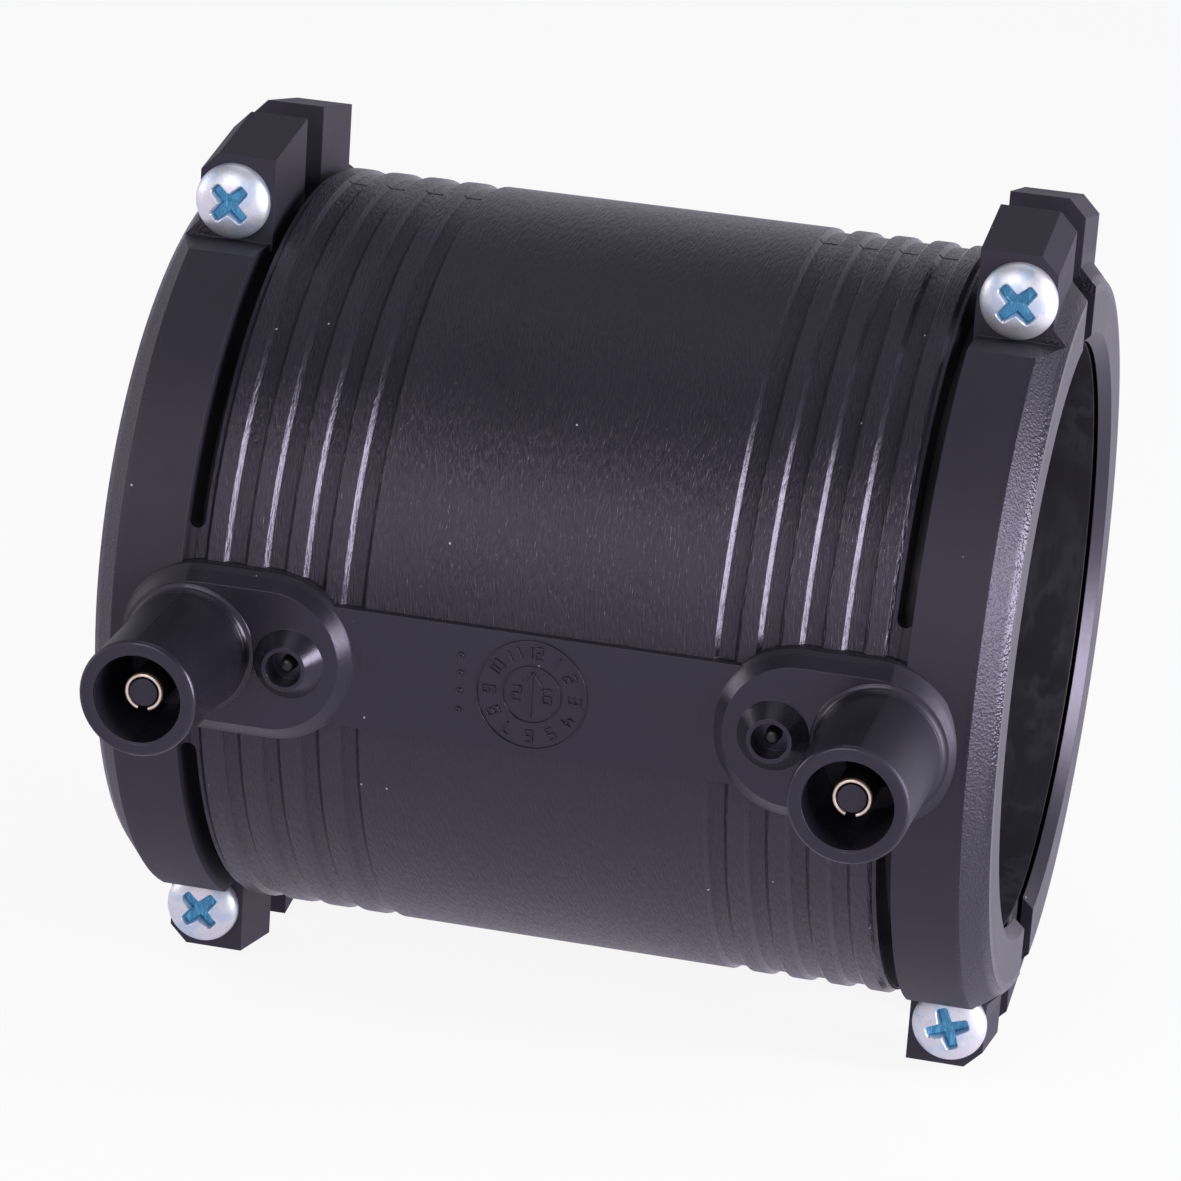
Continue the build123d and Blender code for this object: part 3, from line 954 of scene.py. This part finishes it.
class COUPLER_OT_stage(bpy.types.Operator):
    """Add the floor, the lamps, the world and the camera"""

    bl_idname = "coupler.stage"
    bl_label = "Stage"

    def execute(self, context):
        scene = context.scene
        floor_mesh = bpy.data.meshes.new("floor")
        far, level = FLOOR_REACH, BOTTOM - 0.2 * MM
        corners = [(-far, -far, level), (far, -far, level), (far, far, level), (-far, far, level)]
        floor_mesh.from_pydata(corners, [], [(0, 1, 2, 3)])
        floor = bpy.data.objects.new("floor", floor_mesh)
        scene.collection.objects.link(floor)
        sheet = Sheet("floor_card")
        haze = sheet.noise(60.0, 2.0)
        paper = sheet.blend(haze, rgb(250, 250, 251), rgb(255, 255, 255))
        sheet.finish(Base_Color=paper, Roughness=0.9, Specular_IOR_Level=0.1)
        floor_mesh.materials.append(sheet.material)
        white_seen(sheet)

        world = bpy.data.worlds.new("studio")
        world.use_nodes = True
        scene.world = world
        tree = world.node_tree
        # pale walls round the table, a dark ceiling, and white where the camera looks past it all
        walls = tree.nodes["Background"]
        place = tree.nodes.new("ShaderNodeTexCoord")
        parts = tree.nodes.new("ShaderNodeSeparateXYZ")
        fade = tree.nodes.new("ShaderNodeValToRGB")
        stops = fade.color_ramp.elements
        stops[0].position, stops[0].color = 0.60, (0.66, 0.64, 0.72, 1.0)
        stops[1].position, stops[1].color = 0.86, (0.09, 0.09, 0.11, 1.0)
        half = tree.nodes.new("ShaderNodeMath")
        half.operation = "MULTIPLY_ADD"
        half.inputs[1].default_value = 0.5
        half.inputs[2].default_value = 0.5
        tree.links.new(place.outputs["Generated"], parts.inputs[0])
        tree.links.new(parts.outputs["Z"], half.inputs[0])
        tree.links.new(half.outputs[0], fade.inputs[0])
        tree.links.new(fade.outputs[0], walls.inputs["Color"])
        seen = tree.nodes.new("ShaderNodeBackground")
        seen.inputs["Strength"].default_value = 1.0
        path = tree.nodes.new("ShaderNodeLightPath")
        mix = tree.nodes.new("ShaderNodeMixShader")
        tree.links.new(path.outputs["Is Camera Ray"], mix.inputs[0])
        tree.links.new(walls.outputs[0], mix.inputs[1])
        tree.links.new(seen.outputs[0], mix.inputs[2])
        tree.links.new(mix.outputs[0], tree.nodes["World Output"].inputs["Surface"])

        # name, place, aim, width, power, colour
        lamps = (
            ("lamp_right", (0.62, -0.11, 0.13), (0.03, -0.02, 0.0), 0.37, 6.0, (0.95, 0.93, 1.0)),
            ("lamp_over", (-0.05, 0.10, 0.75), (0.0, 0.0, 0.0), 0.60, 0.6, (0.97, 0.97, 1.0)),
            ("lamp_front", (-0.22, -0.75, 0.48), (0.0, 0.0, 0.0), 0.50, 2.0, (0.96, 0.94, 1.0)),
            ("lamp_left", (-0.70, -0.10, 0.16), (0.0, 0.0, 0.0), 0.30, 0.8, (1.0, 0.95, 0.96)),
        )
        for name, place, aim, width, power, colour in lamps:
            light = bpy.data.lights.new(name, "AREA")
            light.shape = "SQUARE"
            light.size = width
            light.energy = power
            light.color = colour
            lamp = bpy.data.objects.new(name, light)
            direction = Vector(aim) - Vector(place)
            turn = direction.to_track_quat("-Z", "Y").to_matrix().to_4x4()
            lamp.matrix_world = Matrix.Translation(place) @ turn
            scene.collection.objects.link(lamp)

        forward = Vector(CAMERA_FORWARD).normalized()
        right = Vector(CAMERA_RIGHT)
        right = (right - right.dot(forward) * forward).normalized()
        up = right.cross(forward)
        look = Matrix((right, up, -forward)).transposed().to_4x4()
        lens = bpy.data.cameras.new("camera")
        lens.sensor_width = 36.0
        lens.lens = CAMERA_LENS
        lens.shift_x, lens.shift_y = CAMERA_SHIFT
        lens.clip_end = 20.0
        camera = bpy.data.objects.new("camera", lens)
        camera.matrix_world = Matrix.Translation(CAMERA_PLACE) @ look
        scene.collection.objects.link(camera)
        scene.camera = camera
        scene.view_settings.view_transform = "Standard"
        return {"FINISHED"}


def white_seen(sheet):
    """Makes the floor show white to the camera except where the object shades it, and a softer
    lilac to glossy rays, as a lit white table looks in black plastic."""
    tree = sheet.tree
    path = tree.nodes.new("ShaderNodeLightPath")
    shown = sheet.shader.outputs[0]
    for ray, share, colour in (
        ("Is Glossy Ray", 0.85, (0.74, 0.70, 0.84, 1.0)),
        ("Is Camera Ray", 0.9, (1.0, 1.0, 1.0, 1.0)),
    ):
        glow = tree.nodes.new("ShaderNodeEmission")
        glow.inputs["Color"].default_value = colour
        part = tree.nodes.new("ShaderNodeMath")
        part.operation = "MULTIPLY"
        part.inputs[1].default_value = share
        mix = tree.nodes.new("ShaderNodeMixShader")
        tree.links.new(path.outputs[ray], part.inputs[0])
        tree.links.new(part.outputs[0], mix.inputs[0])
        tree.links.new(shown, mix.inputs[1])
        tree.links.new(glow.outputs[0], mix.inputs[2])
        shown = mix.outputs[0]
    tree.links.new(shown, tree.nodes["Material Output"].inputs["Surface"])


class COUPLER_PT_sidebar(bpy.types.Panel):
    """Lists the steps that build the coupler"""

    bl_idname = "COUPLER_PT_sidebar"
    bl_label = "Electrofusion coupler"
    bl_space_type = "VIEW_3D"
    bl_region_type = "UI"
    bl_category = "Coupler"

    def draw(self, context):
        column = self.layout.column()
        for step in STEPS:
            column.operator(step)


STEPS = (
    "coupler.finishes",
    "coupler.screws",
    "coupler.contacts",
    "coupler.pins",
    "coupler.shroud_feet",
    "coupler.shroud_rims",
    "coupler.date_dial",
    "coupler.stage",
)
CLASSES = (
    CouplerFinish,
    CouplerSizes,
    COUPLER_OT_finishes,
    COUPLER_OT_screws,
    COUPLER_OT_contacts,
    COUPLER_OT_pins,
    COUPLER_OT_shroud_feet,
    COUPLER_OT_shroud_rims,
    COUPLER_OT_date_dial,
    COUPLER_OT_stage,
    COUPLER_PT_sidebar,
)


def register():
    for kind in CLASSES:
        bpy.utils.register_class(kind)
    bpy.types.Scene.coupler_finish = bpy.props.PointerProperty(type=CouplerFinish)
    bpy.types.Scene.coupler_sizes = bpy.props.PointerProperty(type=CouplerSizes)


def unregister():
    del bpy.types.Scene.coupler_sizes
    del bpy.types.Scene.coupler_finish
    for kind in reversed(CLASSES):
        bpy.utils.unregister_class(kind)


def main():
    register()
    bpy.ops.coupler.finishes()
    bpy.ops.coupler.screws()
    bpy.ops.coupler.contacts()
    bpy.ops.coupler.pins()
    bpy.ops.coupler.shroud_feet()
    bpy.ops.coupler.shroud_rims()
    bpy.ops.coupler.date_dial()
    bpy.ops.coupler.stage()


if __name__ == "__main__":
    main()
